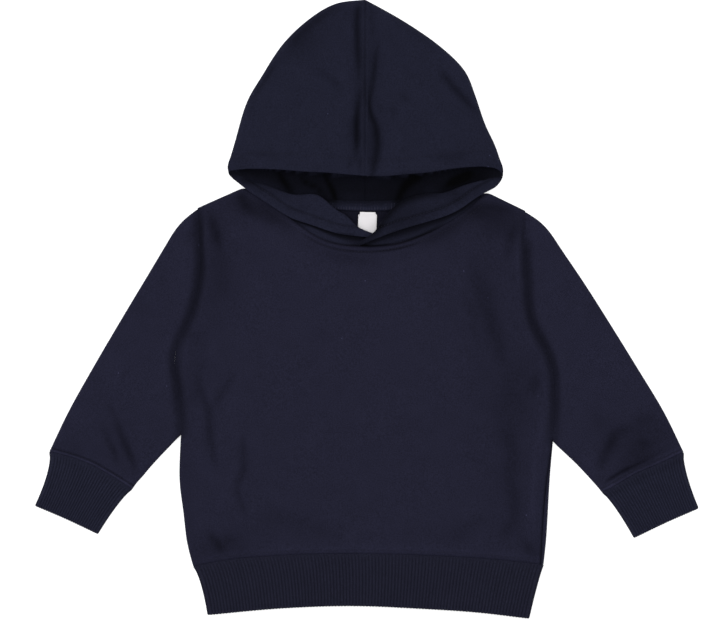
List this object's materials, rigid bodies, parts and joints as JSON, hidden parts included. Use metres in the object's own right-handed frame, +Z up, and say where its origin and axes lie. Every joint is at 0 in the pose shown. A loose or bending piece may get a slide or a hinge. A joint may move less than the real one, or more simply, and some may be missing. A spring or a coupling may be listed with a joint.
{
  "type": "toddler hoodie",
  "caption": "Plain navy pullover hoodie for a toddler, laid flat: fleece body, sleeves and hood with a centre seam, ribbed cuffs and waistband, small white neck label.",
  "frame": {"origin": "centre of the laid-out garment's box, on the surface that it lies on", "axes": "+X from sleeve to sleeve, to the right seen from above, +Y from waistband to hood, +Z up from the surface"},
  "size_m": [0.5972, 0.5578, 0.0161],
  "materials": {
    "fleece": "dark navy sweatshirt fleece with a smooth jersey face",
    "rib": "dark navy 1x1 rib knit",
    "label": "white woven label, bare"
  },
  "bodies": {
    "root": {"front": "fleece", "back": "fleece", "sleeve_left": "fleece", "sleeve_right": "fleece", "hood_left": "fleece", "hood_right": "fleece", "cuff_left": "rib", "cuff_right": "rib", "waistband": "rib", "label": "label"}
  },
  "joints": []
}
